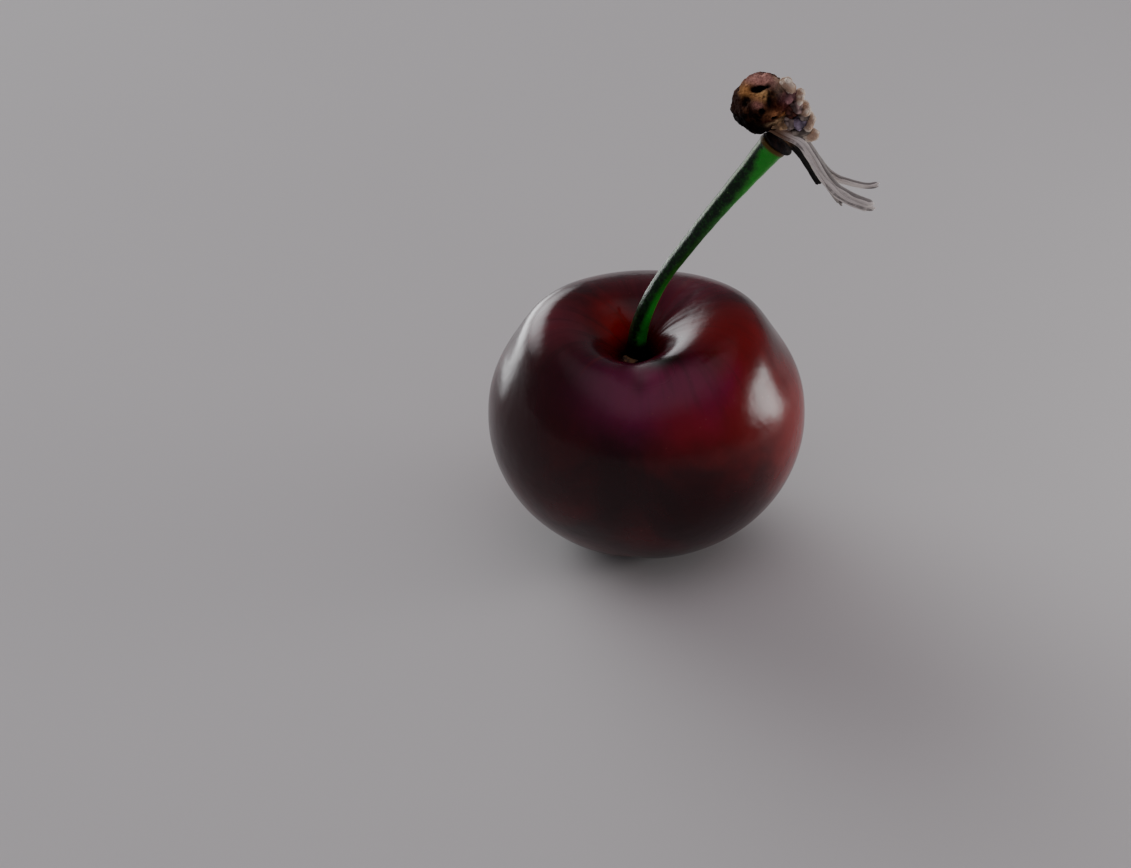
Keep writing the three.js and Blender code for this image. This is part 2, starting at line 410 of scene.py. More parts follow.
# Soft patches of skin colour, among them a painted sheen and a painted shade: where, how large, the
# colour's screen values, and how strong.
SKIN_AND_PAINTED_LIGHT_PATCHES = (
    ((0.0, 4.2, 11.0), (7.0, 2.2, 2.0), (92, 22, 34), 0.5),
    # Painted highlight: a grey-mauve sheen over the left shoulder.
    ((-7.3, -2.4, 10.7), (3.0, 3.2, 2.0), (112, 44, 58), 0.6),
    ((7.6, -3.8, 10.8), (4.2, 3.6, 3.4), (132, 9, 10), 0.8),
    ((12.4, -4.4, 1.8), (4.0, 5.0, 5.5), (140, 14, 12), 0.85),
    ((7.0, -8.8, 7.3), (4.0, 4.0, 4.6), (128, 8, 8), 0.85),
    ((-0.8, -9.6, 8.4), (6.2, 3.8, 3.0), (124, 12, 74), 0.85),
    ((3.6, -9.0, 8.8), (3.4, 3.4, 2.6), (120, 10, 64), 0.7),
    ((3.0, -11.0, 6.2), (2.6, 2.4, 2.4), (136, 16, 26), 0.7),
    ((-9.0, -8.0, 5.0), (5.0, 4.6, 5.5), (46, 0, 8), 0.8),
    ((-3.3, 0.6, 8.6), (2.8, 2.6, 2.0), (168, 18, 14), 0.9),
    ((3.2, 2.7, 10.8), (3.6, 2.6, 2.4), (84, 0, 32), 0.9),
    # Painted shade: near black where the hollow's shadow runs out to the right.
    ((1.5, -6.2, 9.7), (2.3, 1.0, 1.0), (6, 0, 1), 0.95),
    ((-0.9, -8.4, 8.8), (0.8, 1.5, 0.9), (70, 0, 30), 0.6),
)

DULL_LIP = ((-0.5, -7.2, 9.8), (2.0, 1.5, 1.6))  # where, and how large, the skin is duller


def skin_reach(tree, direction, given):
    """How far the skin is from the centre in a direction, in half widths, how much of that the hollow
    takes away, and the angle from the stem end."""
    x, y, z = parts_of(tree, direction)
    polar = calculate(tree, "ARCCOSINE", z)
    across = calculate(tree, "SQRT", x * x + y * y)
    top = calculate(tree, "GREATER_THAN", z, 0.0)
    upper = given["Shoulder Reach"] - given["Apex Reach"]
    reach = (given["Apex Reach"] + top * upper) / given["Half Width"]
    power = 2.0 + top * (SHOULDER_SQUARENESS - 2.0)
    body = (across**power + abs(z / reach) ** power) ** (-1.0 / power)

    axis = Vector(FUNNEL["axis"]).normalized()
    towards_funnel = calculate(tree, "MINIMUM", dot(tree, direction, axis), 1.0)
    from_funnel = calculate(tree, "ARCCOSINE", towards_funnel)
    basin = BASIN["depth"] * bell(polar, BASIN["angle"], BASIN["edge"])
    funnel = FUNNEL["depth"] * bell(from_funnel, FUNNEL["angle"], FUNNEL["edge"])

    round_square = calculate(tree, "MAXIMUM", across * across, 1e-6)
    left_right = (x * x - y * y) / round_square
    cheeks = 1.0 + CHEEKS["rise"] * left_right * bell(polar - CHEEKS["at"], CHEEKS["spread"])
    at_slope = bell(polar - SHOULDER_SLOPE["at"], SHOULDER_SLOPE["spread"])
    slope_here = SLOPE_ALL_ROUND + (1.0 - SLOPE_ALL_ROUND) * left_right
    slope = 1.0 - SHOULDER_SLOPE["depth"] * slope_here * at_slope

    facing_front = 1.0 / (1.0 + calculate(tree, "EXPONENT", y / FRONT_EDGE))
    over_lip = SUTURE_LIP["depth"] * bell(polar - SUTURE_LIP["at"], SUTURE_LIP["spread"])
    along_seam = SUTURE["along"] + over_lip
    seam = bell(x - SUTURE["at"], SUTURE["half_width"]) * facing_front * along_seam
    seam = seam * (1.0 - bell(polar, SUTURE_TOP_GAP))
    skin = body * (1.0 - basin - funnel) * cheeks * slope * (1.0 - SUTURE["depth"] * seam)
    return skin, basin + funnel, polar


def fruit_tree():
    numbers = ("Half Width", "Half Depth", "Shoulder Reach", "Apex Reach", "Lean Forward", "Lean Side")
    tree, given = geometry_tree("Cherry fruit", Float=numbers, Int=("Around", "Down"))
    inputs = {"Segments": given["Around"], "Rings": given["Down"], "Radius": 1.0}
    ball = add_node(tree, "GeometryNodeMeshUVSphere", inputs)
    x, y, z = parts_of(tree, position_of(tree))
    level = calculate(tree, "SQRT", x * x + y * y)
    level = calculate(tree, "MAXIMUM", level, 1e-6)
    share = calculate(tree, "ARCCOSINE", calculate(tree, "MAXIMUM", z, -1.0)) / math.pi
    polar = share**RINGS_TO_STEM * math.pi
    across = calculate(tree, "SINE", polar)
    heading = vector_of(tree, x / level, y / level, 0.0)
    upright = vector_of(tree, 0.0, 0.0, calculate(tree, "COSINE", polar))
    direction = vector_math(tree, "ADD", scaled(tree, heading, across), upright)
    reach, hollow, from_stem = skin_reach(tree, direction, given)

    # Soft unevenness over the whole skin, and faint creases that run into the hollow.
    swell = (noise(tree, direction, 1.6, 1.0) - 0.5) * UNEVENNESS
    crease_at = bell(from_stem - CREASES["at"], CREASES["spread"])
    creases = (noise(tree, scaled(tree, heading, 3.0), 1.0, 1.0) - 0.5) * UNEVENNESS * crease_at
    reach = reach + swell + creases

    half = vector_of(tree, given["Half Width"], given["Half Depth"], given["Half Width"])
    place = vector_math(tree, "MULTIPLY", scaled(tree, direction, reach), half)
    place = turned(tree, place, (0.0, 1.0, 0.0), given["Lean Side"])
    place = turned(tree, place, (1.0, 0.0, 0.0), given["Lean Forward"])
    px, py, pz = parts_of(tree, vector_math(tree, "ADD", place, FRUIT_CENTRE))
    above = calculate(tree, "SMOOTH_MAX", pz, 0.0, FLAT_EDGE * MM)

    geometry = store(tree, ball.outputs["Mesh"], "hollow", hollow)
    geometry = store(tree, geometry, "from_stem", from_stem)
    geometry = store(tree, geometry, "heading", heading, "FLOAT_VECTOR")
    geometry = set_position(tree, geometry, vector_of(tree, px, py, above))
    end_tree(tree, geometry, given["Material"])
    return tree


def skin_finish(settings):
    """Glossy dark red skin that shades into purple, brown-red and black, with painted shade in the hollow
    and at its mouth, and a painted sheen on the left shoulder.
    """
    finish = Finish(
        "cherry_skin",
        roughness=settings.roughness,
        IOR=1.42,
        Specular_IOR_Level=0.42,
        Subsurface_Weight=0.06,
        Subsurface_Radius=(1.0, 0.12, 0.1),
        Subsurface_Scale=2.0 * MM,
    )
    tree = finish.tree
    clouds = finish.noise(0.11, 3.0, 0.55, 0.6)
    colour = finish.mix(step(clouds, 0.36, 0.66), tuple(settings.deep), tuple(settings.red))
    for at, size, screen, strength in SKIN_AND_PAINTED_LIGHT_PATCHES:
        share = finish.patch(at, size, wobble=0.9) * strength
        colour = finish.mix(share, colour, linear(*screen))

    # Fine streaks that run from the hollow over the shoulders.
    heading = finish.attribute_vector("heading")
    from_stem = finish.attribute("from_stem")
    down = vector_of(tree, 0.0, 0.0, from_stem * 1.3)
    wide = vector_math(tree, "ADD", scaled(tree, heading, 9.0), down)
    streaks = noise(tree, wide, 1.0, 4.0, 0.6)
    near_top = bell(from_stem - 0.45, 0.5)
    colour = finish.mix(step(streaks, 0.52, 0.75) * near_top * 0.3, colour, linear(112, 18, 26))
    colour = finish.mix(step(streaks, 0.5, 0.3) * near_top * 0.35, colour, linear(26, 1, 4))

    # Tiny pale breathing spots.
    spots = step(cells(tree, finish.place, 0.75), 0.085, 0.05) * step(clouds, 0.4, 0.6)
    colour = finish.mix(spots * 0.22, colour, linear(150, 70, 66))

    hollow = finish.attribute("hollow")
    # Painted shade: near black down in the hollow, the deeper the darker.
    colour = finish.mix(step(hollow, 0.3, 0.46), colour, linear(6, 0, 1))
    finish.colour(colour)
    smears = (finish.noise(0.5, 3.0) - 0.5) * 0.08
    dull = finish.patch(*DULL_LIP) * 0.5
    finish.roughness(settings.roughness + smears + dull)
    ripples = finish.noise(0.5, 2.0, 0.5) + finish.noise(5.0, 2.0) * 0.02
    finish.bump(ripples, 0.05)
    return finish.material


# ---- The stem ----

STEM_PATH = (
    (-0.9, -0.75, 8.5),
    (-0.3, -1.1, 11.5),
    (1.1, -1.6, 15.1),
    (3.1, -2.1, 18.6),
    (5.15, -2.6, 22.0),
    (7.3, -2.9, 25.2),
    (10.15, -3.12, 29.3),
)
STEM_FOOT = Vector((-1.0, -0.9, 7.2))  # over the floor of the hollow
STEM_FOOT_SINKS = 0.25  # into that floor
STEM_TOP_POWER = 3.2  # how late the top widens
STEM_LIT_SIDE = Vector((0.86, -0.3, -0.42)).normalized()  # the way that its painted light, the bright green, faces
STEM_HIGHLIGHT_SIDE = Vector((-0.82, -0.12, 0.56)).normalized()  # and its painted rim highlight
STEM_RIM_AT = 0.988  # of the way along
STEM_RELIEF = {"ribs": 0.022, "warts": 0.02, "rough": 0.07, "rim": 0.08}  # how far they stand out
STEM_SIDES = 72
STEM_STEPS = 320


def stem_tree():
    numbers = ("Thin Radius", "Foot Flare", "Foot Spread", "Top Flare")
    tree, given = geometry_tree("Cherry stem", Float=numbers)
    curve = evenly_spaced(tree, smooth_curve(tree, given["Geometry"]), STEM_STEPS)
    along = along_spline(tree)
    foot = given["Foot Flare"] * bell(along, given["Foot Spread"])
    top = given["Top Flare"] * along**STEM_TOP_POWER
    uneven = 1.0 + (noise(tree, vector_of(tree, along * 6.0, 0.0, 0.0), 1.0, 1.0) - 0.5) * 0.12
    radius = (given["Thin Radius"] + foot + top) * uneven
    skin = tube(tree, store(tree, curve, "along", along), radius, STEM_SIDES)
    normal = tree.nodes.new("GeometryNodeInputNormal").outputs["Normal"]
    # Which way each point faces, for the painted light and the painted rim highlight.
    geometry = store(tree, skin, "lit_side", dot(tree, normal, STEM_LIT_SIDE))
    geometry = store(tree, geometry, "highlight_side", dot(tree, normal, STEM_HIGHLIGHT_SIDE))
    turn = stored(tree, "around") * (2 * math.pi)
    share = stored(tree, "along")
    ribs = calculate(tree, "COSINE", turn * 7.0 + share * 5.0) * 0.5
    ribs = ribs + calculate(tree, "COSINE", turn * 3.0 - share * 4.0)
    warts = bell(cells(tree, position_of(tree), 0.9 / MM), 0.22)
    rough = noise(tree, position_of(tree), 0.8 / MM, 3.0) - 0.5
    rim = bell(share - STEM_RIM_AT, 0.01) * STEM_RELIEF["rim"]
    rough = rough * STEM_RELIEF["rough"]
    height_mm = ribs * STEM_RELIEF["ribs"] + warts * STEM_RELIEF["warts"] + rough + rim
    geometry = push_out(tree, geometry, height_mm * MM)
    end_tree(tree, geometry, given["Material"])
    return tree


def stem_finish(settings):
    """Green with painted light that is bright on one side near both ends, and painted shade that is dark
    and mottled between, with a painted highlight along its rim and painted shade down in the hollow.
    """
    finish = Finish("cherry_stem", roughness=0.42, Specular_IOR_Level=0.25)
    tree = finish.tree
    along = finish.attribute("along")
    side = finish.attribute("lit_side")
    mottle = finish.noise(1.1, 4.0, 0.6)
    specks = finish.noise(3.6, 3.0, 0.65)
    # Painted light: bright green on the side that faces right and down, most near both ends; the dark
    # green is painted shade.
    ends = bell(along - 0.13, 0.2) + bell(along - 0.93, 0.2) + 0.12
    lit = side + (mottle - 0.5) * 1.1 + bell(along - 0.97, 0.09) * 0.75
    bright = step(lit, 0.0, 0.75) * ends
    dark = finish.mix(step(specks, 0.45, 0.7) * 0.75, tuple(settings.dark), tuple(settings.middle))
    colour = finish.mix(bright, dark, tuple(settings.bright))
    pale = step(cells(tree, finish.place, 2.2), 0.16, 0.08) * step(mottle, 0.45, 0.6)
    colour = finish.mix(pale * 0.35, colour, linear(120, 150, 96))
    # Painted highlight: a pale line along the stem's upper left rim.
    edge = step(finish.attribute("highlight_side") + (mottle - 0.5) * 0.06, 0.955, 0.992)
    colour = finish.mix(edge * step(along, 0.1, 0.2) * 0.5, colour, linear(190, 208, 174))
    colour = finish.mix(step(along, 0.982, 0.992), colour, linear(92, 70, 24))  # a brown rim at the top
    colour = finish.mix(step(along, 0.115, 0.075), colour, linear(5, 6, 4))  # painted shade, dark down in the hollow
    finish.colour(colour)
    finish.roughness(0.34 + (specks - 0.5) * 0.25)
    finish.bump(specks + mottle, 0.06)
    return finish.material


def hollow_floor(x, y):
    """The point of the fruit's skin straight under a place in the hollow."""
    fruit = bpy.data.objects["cherry_fruit"]
    start = FRUIT_CENTRE + Vector((x, y, STEM_FOOT.z + 2.0)) * MM
    hit, place, _, _ = fruit.ray_cast(start, (0.0, 0.0, -1.0))
    if not hit:
        raise RuntimeError("there is no fruit under the stem's foot")
    return (place - FRUIT_CENTRE) / MM


# ---- Dry lumps ----


def blob_tree():
    """A closed ball that is stretched, crumpled into small rounded folds, turned and put in place."""
    tree, given = geometry_tree(
        "Dry lump",
        Vector=("Half Size", "Place", "Seed"),
        Float=("Turn", "Fold Height", "Fold Waves"),
        Int=("Fineness",),
    )
    ball = add_node(tree, "GeometryNodeMeshIcoSphere", {"Radius": 1.0, "Subdivisions": given["Fineness"]})
    round_place = position_of(tree)
    sample = vector_math(tree, "MULTIPLY", round_place, given["Half Size"])
    sample = vector_math(tree, "ADD", scaled(tree, sample, 1 / MM), given["Seed"])
    bent = (noise(tree, sample, given["Fold Waves"] * 0.6, 1.0) - 0.5) * 2.0
    shifted = vector_math(tree, "ADD", sample, scaled(tree, (0.6, 0.5, 0.7), bent))
    folds = 1.0 - cells(tree, shifted, given["Fold Waves"], 0.9) * 1.25
    fine = noise(tree, sample, given["Fold Waves"] * 3.0, 3.0, 0.6)
    height = (folds - 0.5 + bent * 0.35 + (fine - 0.5) * 0.5) * given["Fold Height"]
    place = vector_math(tree, "MULTIPLY", round_place, given["Half Size"])
    place = vector_math(tree, "ADD", place, scaled(tree, round_place, height))
    place = turned(tree, place, (0.0, 1.0, 0.0), given["Turn"])
    place = vector_math(tree, "ADD", place, given["Place"])
    geometry = store(tree, ball.outputs["Mesh"], "fold", folds)
    geometry = set_position(tree, geometry, place)
    end_tree(tree, geometry, given["Material"])
    return tree


def grow_blob(name, tree, material, at, half, turn, fold, waves, fineness):
    """A crumpled lump. Its place and half sizes are in millimetres, and its place is from the fruit's
    centre. The folds' height is a share of the smallest half size. Each name gives its own folds."""
    seed = sum(ord(letter) * (place + 1) for place, letter in enumerate(name))
    values = {
        "Half Size": Vector(half) * MM,
        "Turn": turn,
        "Place": FRUIT_CENTRE + Vector(at) * MM,
        "Fold Height": fold * min(half) * MM,
        "Fold Waves": waves,
        "Seed": Vector((seed % 17, seed % 29, seed % 41)),
        "Fineness": fineness,
        "Material": material,
    }
    return grow(name, tree, values)


# ---- The corky spot at the stem's foot ----

FOOT_RING_OFFSET = Vector((-0.7, -0.6))  # from the stem's foot, level
FOOT_RING_RISE = 0.22  # over the floor of the hollow
FOOT_RING = {"half": (0.95, 0.62, 0.22), "turn": 0.0, "fold": 0.4, "waves": 0.9, "fineness": 6}


def foot_ring_finish(settings):
    """Tan, corky tissue with dark edges."""
    finish = Finish("foot_bark", roughness=0.8)
    grain = finish.noise(2.4, 4.0, 0.6)
    finish.colour(finish.mix(step(grain, 0.4, 0.62), linear(38, 24, 14), tuple(settings.tan)))
    finish.bump(grain, 0.12)
    return finish.material


# ---- The knob ----

KNOB_CENTRE = Vector((8.95, -2.6, 32.74))  # from the fruit's centre
KNOB_HALF = (2.25, 2.15, 2.42)
KNOB_TURN = 0.25
KNOB_RELIEF = {"lumps": 1.1, "ridges": 0.2, "grain": 0.14, "small_pits": 0.14}  # how far they stand out
KNOB_FINENESS = 7

# Hollows in the knob: where, how large and how deep, from its middle.
KNOB_PITS = (
    ((-0.8, -1.15, 1.9), (0.42, 0.6, 0.2), 0.24),
    ((-0.35, -1.2, 2.05), (0.5, 0.6, 0.22), 0.28),
    ((0.2, -1.2, 2.15), (0.5, 0.6, 0.16), 0.22),
    ((-1.35, -1.5, 1.15), (0.45, 0.6, 0.22), 0.16),
    ((-1.6, -1.4, 0.75), (0.24, 0.6, 0.3), 0.16),
    ((0.65, -1.4, 1.7), (0.42, 0.6, 0.16), 0.13),
    ((0.4, -1.8, 1.15), (0.2, 0.6, 0.55), 0.17),
    ((-0.1, -2.1, 0.45), (0.3, 0.6, 0.25), 0.25),
    ((0.9, -2.0, -0.2), (0.24, 0.6, 0.16), 0.3),
    ((1.6, 1.2, 0.8), (0.5, 0.6, 0.5), 0.26),
    ((-1.2, 1.7, 0.4), (0.5, 0.5, 0.45), 0.26),
    ((0.2, 1.9, -1.0), (0.7, 0.5, 0.3), 0.22),
)

# Patches of the knob's colour: where, how large, and the colour's screen values.
KNOB_TINTS = (
    ((-0.2, -0.3, 2.4), (1.7, 1.0, 0.6), (226, 164, 150)),
    ((-1.4, -0.9, 1.6), (0.8, 0.9, 0.6), (206, 146, 88)),
    ((0.0, -1.75, 1.7), (0.6, 0.7, 0.36), (240, 188, 124)),
    ((-0.4, -1.9, 1.4), (0.45, 0.6, 0.3), (218, 164, 108)),
    ((-0.5, -2.1, 0.95), (0.45, 0.6, 0.38), (210, 148, 134)),
    ((0.8, -2.1, 0.3), (0.55, 0.6, 0.36), (206, 138, 92)),
    ((1.6, -1.6, -0.2), (0.5, 0.6, 0.25), (178, 116, 68)),
    ((1.2, -1.8, -0.85), (1.0, 0.8, 0.32), (240, 198, 150)),
    ((1.5, -0.2, 1.9), (0.9, 0.9, 0.55), (212, 188, 162)),
    ((1.9, -0.9, 1.0), (0.6, 0.8, 0.6), (172, 116, 120)),
)

# Painted shade, nearly black, low on the knob's left and under it, and dark red-brown bark, in the same
# terms.
KNOB_SHADE_AND_DARK_BARK = (
    # Painted shade, nearly black, low on the left and under the knob.
    ((-1.8, -1.2, -1.2), (2.4, 2.6, 1.8), (4, 1, 3)),
    ((-0.2, -1.6, -1.8), (2.2, 2.2, 1.4), (4, 1, 3)),
    ((1.4, -1.5, 0.6), (0.95, 0.9, 0.5), (64, 14, 9)),
    ((0.55, -1.8, 1.25), (0.34, 0.9, 0.8), (42, 16, 9)),
    ((-1.5, -1.6, 0.95), (0.6, 0.7, 0.45), (48, 22, 10)),
    ((0.45, -2.2, -0.5), (0.6, 0.5, 0.2), (54, 16, 8)),
    ((-2.2, -0.4, 0.4), (0.5, 1.4, 0.9), (52, 30, 24)),
)


def knob_tree():
    tree, given = geometry_tree("Cherry knob", Vector=("Half Size", "Place"), Float=("Turn",))
    ball = add_node(tree, "GeometryNodeMeshIcoSphere", {"Radius": 1.0, "Subdivisions": KNOB_FINENESS})
    body = vector_math(tree, "MULTIPLY", position_of(tree), given["Half Size"])
    body = turned(tree, body, (0.0, 1.0, 0.0), given["Turn"])
    sample = scaled(tree, body, 1 / MM)
    ragged = (noise(tree, sample, 2.4, 3.0, 0.6) - 0.5) * 0.7
    depth = 0.0
    for at, size, deep in KNOB_PITS:
        offset = vector_math(tree, "DIVIDE", vector_math(tree, "SUBTRACT", sample, at), size)
        depth = depth + bell(length_of(tree, offset) + ragged, 1.0, 3.0) * deep
    lumps = (noise(tree, sample, 0.5, 1.0, 0.5, 0.5) - 0.5) * KNOB_RELIEF["lumps"]
    ridges = (1.0 - abs(noise(tree, sample, 1.1, 2.0) - 0.5) * 4.0) * KNOB_RELIEF["ridges"]
    grain = (noise(tree, sample, 5.0, 4.0, 0.6) - 0.5) * KNOB_RELIEF["grain"]
    small_pits = bell(cells(tree, sample, 1.5), 0.24) * step(noise(tree, sample, 0.9), 0.48, 0.6)
    height_mm = lumps + ridges + grain - depth - small_pits * KNOB_RELIEF["small_pits"]
    outwards = vector_math(tree, "NORMALIZE", body)
    place = vector_math(tree, "ADD", body, scaled(tree, outwards, height_mm * MM))
    place = vector_math(tree, "ADD", place, given["Place"])
    # How deep each point lies in a pit, kept for the painted shade there.
    dark = calculate(tree, "MAXIMUM", depth * 4.0, small_pits * 0.7)
    geometry = store(tree, ball.outputs["Mesh"], "pit", dark)
    geometry = set_position(tree, geometry, place)
    end_tree(tree, geometry, given["Material"])
    return tree


def knob_finish(settings):
    """Dry bark: tan and pinkish ridges, brown between them, and painted shade, black, in its pits, low on
    its left and under it.
    """
    finish = Finish("knob_bark", roughness=0.85, Specular_IOR_Level=0.06)
    grain = finish.noise(1.5, 4.0, 0.65, 0.5)
    fine = finish.noise(7.0, 3.0, 0.6)
    colour = finish.mix(step(grain, 0.42, 0.66), linear(26, 10, 6), tuple(settings.bark))
    for at, size, screen in KNOB_TINTS:
        share = finish.patch(KNOB_CENTRE + Vector(at), size, wobble=1.3, waves=1.6) * 0.88
        colour = finish.mix(share, colour, linear(*screen))
    colour = finish.mix(step(fine, 0.46, 0.7) * 0.5, colour, linear(38, 18, 11))
    # Painted shade and dark bark.
    for at, size, screen in KNOB_SHADE_AND_DARK_BARK:
        share = finish.patch(KNOB_CENTRE + Vector(at), size, wobble=0.8, waves=1.2) * 0.96
        colour = finish.mix(share, colour, linear(*screen))
    # Painted shade: black down in the pits, the deeper the darker.
    colour = finish.mix(step(finish.attribute("pit"), 0.1, 0.8), colour, linear(8, 3, 4))
    finish.colour(colour)
    finish.bump(fine + grain * 2.0, 0.08)
    return finish.material


# ---- The dark collar under the knob ----

COLLAR = {
    "at": (10.4, -3.2, 29.3),
    "half": (1.4, 1.25, 0.5),
    "turn": 0.72,
    "fold": 0.35,
    "waves": 0.9,
    "fineness": 6,
}


def collar_finish():
    """Dark bark, painted nearly black for the shade under the knob."""
    finish = Finish("collar_bark", roughness=0.7, Specular_IOR_Level=0.3)
    grain = finish.noise(2.6, 4.0, 0.6)
    # Painted shade: nearly black, with brown bark showing in the grain.
    finish.colour(finish.mix(step(grain, 0.42, 0.7), linear(8, 4, 7), linear(44, 22, 15)))
    finish.bump(grain, 0.1)
    return finish.material


# ---- The dry scales ----

# The crumpled scales, from the top of the knob down its right side: where, half sizes in length, in depth
# and in thickness, and how far each is turned down to the right.
DRY_SCALES = (
    ((11.1, -3.0, 34.6), (0.85, 0.9, 0.5), 0.62),
    ((11.95, -3.0, 33.65), (0.5, 0.95, 0.72), 0.15),
    ((12.45, -3.05, 32.5), (0.5, 0.95, 0.6), 0.2),
    ((12.85, -3.1, 31.35), (0.54, 0.95, 0.78), 0.2),
    ((13.0, -3.2, 30.2), (0.82, 0.9, 0.5), -0.12),
)

# The softer tissue between those scales and the knob, in the same terms, with its colour's screen values.
SCALE_ROOTS = (
    ((10.9, -3.0, 33.8), (0.95, 1.0, 0.85), 0.3, (172, 122, 124)),
    ((11.7, -3.2, 32.85), (0.62, 0.9, 0.55), 0.2, (196, 166, 160)),
    ((11.0, -3.0, 32.5), (1.0, 1.0, 0.65), 0.35, (112, 62, 50)),
    ((12.45, -3.1, 31.9), (0.55, 0.85, 0.42), 0.3, (176, 160, 150)),
    ((12.0, -3.2, 31.35), (0.85, 0.9, 0.6), 0.1, (176, 160, 184)),
    ((11.1, -3.4, 31.4), (0.95, 0.8, 0.52), 0.1, (196, 176, 168)),
    ((10.3, -3.75, 31.4), (0.95, 0.65, 0.38), 0.12, (224, 182, 138)),
    ((12.2, -3.3, 30.55), (1.0, 0.8, 0.42), -0.1, (190, 176, 162)),
)

SCALE_FOLDS = {"fold": 0.62, "waves": 1.25, "fineness": 6}
ROOT_FOLDS = {"fold": 0.6, "waves": 1.3, "fineness": 6}
ROOT_SHADE = 0.3  # how light the painted shade down in the root tissue's folds is, beside its own colour


def dry_finish(name, pale, dark):
    """Papery tissue, with painted shade down in its folds."""
    finish = Finish(name, roughness=0.78, Specular_IOR_Level=0.3)
    fibres = finish.noise(2.6, 4.0, 0.65, 0.4)
    fold = finish.attribute("fold")
    # Painted shade: the dark colour down in the folds, the pale one on the lumps.
    colour = finish.mix(step(fold, 0.25, 0.72), dark, pale)
    colour = finish.mix(step(fibres, 0.62, 0.4) * 0.45, colour, dark)
    finish.colour(colour)
    finish.bump(fibres, 0.08)
    return finish.material


# ---- The dry strips ----

# Each strip: the node that it stands for, its slot, its centreline, its half width and half thickness, how
# many fibres it has, how wide its tip is beside its root, how ragged its end is, and how light it is.
STRIPS = (
    {
        "node": "bract_strip_upper",
        "slot": "dry_strip",
        "path": (
            (11.2, -3.2, 30.6), (12.0, -3.4, 30.15), (12.6, -3.5, 29.6), (13.15, -3.5, 28.85),
            (13.75, -3.5, 27.9), (14.45, -3.4, 26.9), (15.35, -3.35, 26.15), (16.4, -3.3, 25.72),
            (17.35, -3.3, 25.42), (18.25, -3.3, 25.35), (19.15, -3.3, 25.6),
        ),
        "half": (0.36, 0.16),
        "fibres": 5,
        "tip": 0.75,
        "fray": 0.05,
        "shade": 1.0,
    },
    {
        "node": "bract_strip_lower",
        "slot": "dry_strip",
        "path": (
            (9.7, -3.2, 30.9), (10.8, -3.6, 30.45), (11.7, -3.8, 30.1), (12.45, -3.9, 29.55),
            (13.1, -4.0, 28.65), (13.7, -4.0, 27.6), (14.5, -4.05, 26.4), (15.35, -4.1, 25.4),
            (16.3, -4.15, 24.7), (17.3, -4.2, 24.25), (18.3, -4.2, 23.9), (19.0, -4.2, 23.85),
        ),
        "half": (0.46, 0.18),
        "fibres": 7,
        "tip": 1.45,
        "fray": 0.08,
        "shade": 0.95,
    },
    {
        "node": "bract_strip_short",
        "slot": "dry_strip",
        "path": (
            (13.4, -3.4, 27.4), (14.05, -3.4, 26.5), (14.65, -3.4, 25.5), (15.2, -3.4, 24.6),
            (15.8, -3.45, 23.75), (16.1, -3.45, 23.4),
        ),
        "half": (0.3, 0.1),
        "fibres": 4,
        "tip": 0.7,
        "fray": 0.2,
        "shade": 0.5,
    },
    # Painted shadow: a nearly black strip along the strands' shaded side.
    {
        "node": "bract_strip_dark",
        "slot": "dark_strip",
        "path": (
            (11.0, -2.9, 29.8), (11.6, -2.75, 29.15), (12.25, -2.65, 28.4), (12.95, -2.6, 27.4),
            (13.65, -2.6, 26.35), (14.4, -2.6, 25.15),
        ),
        "half": (0.5, 0.14),
        "fibres": 6,
        "tip": 1.2,
        "fray": 0.06,
        "shade": 0.02,
    },
)

# Painted shadow on the strips, nearly black, under the upper strip's end and in the gap where it splits:
# where, and how large.
STRIP_SHADES = (
    ((18.5, -3.3, 25.1), (0.75, 0.6, 0.2)),
    ((16.2, -3.5, 25.2), (0.5, 0.6, 0.16)),
)
GOLDEN_STEP = 0.618  # gives neighbouring fibres tones that are far apart
FIBRE_SIDES = 10
FIBRE_STEPS = 90


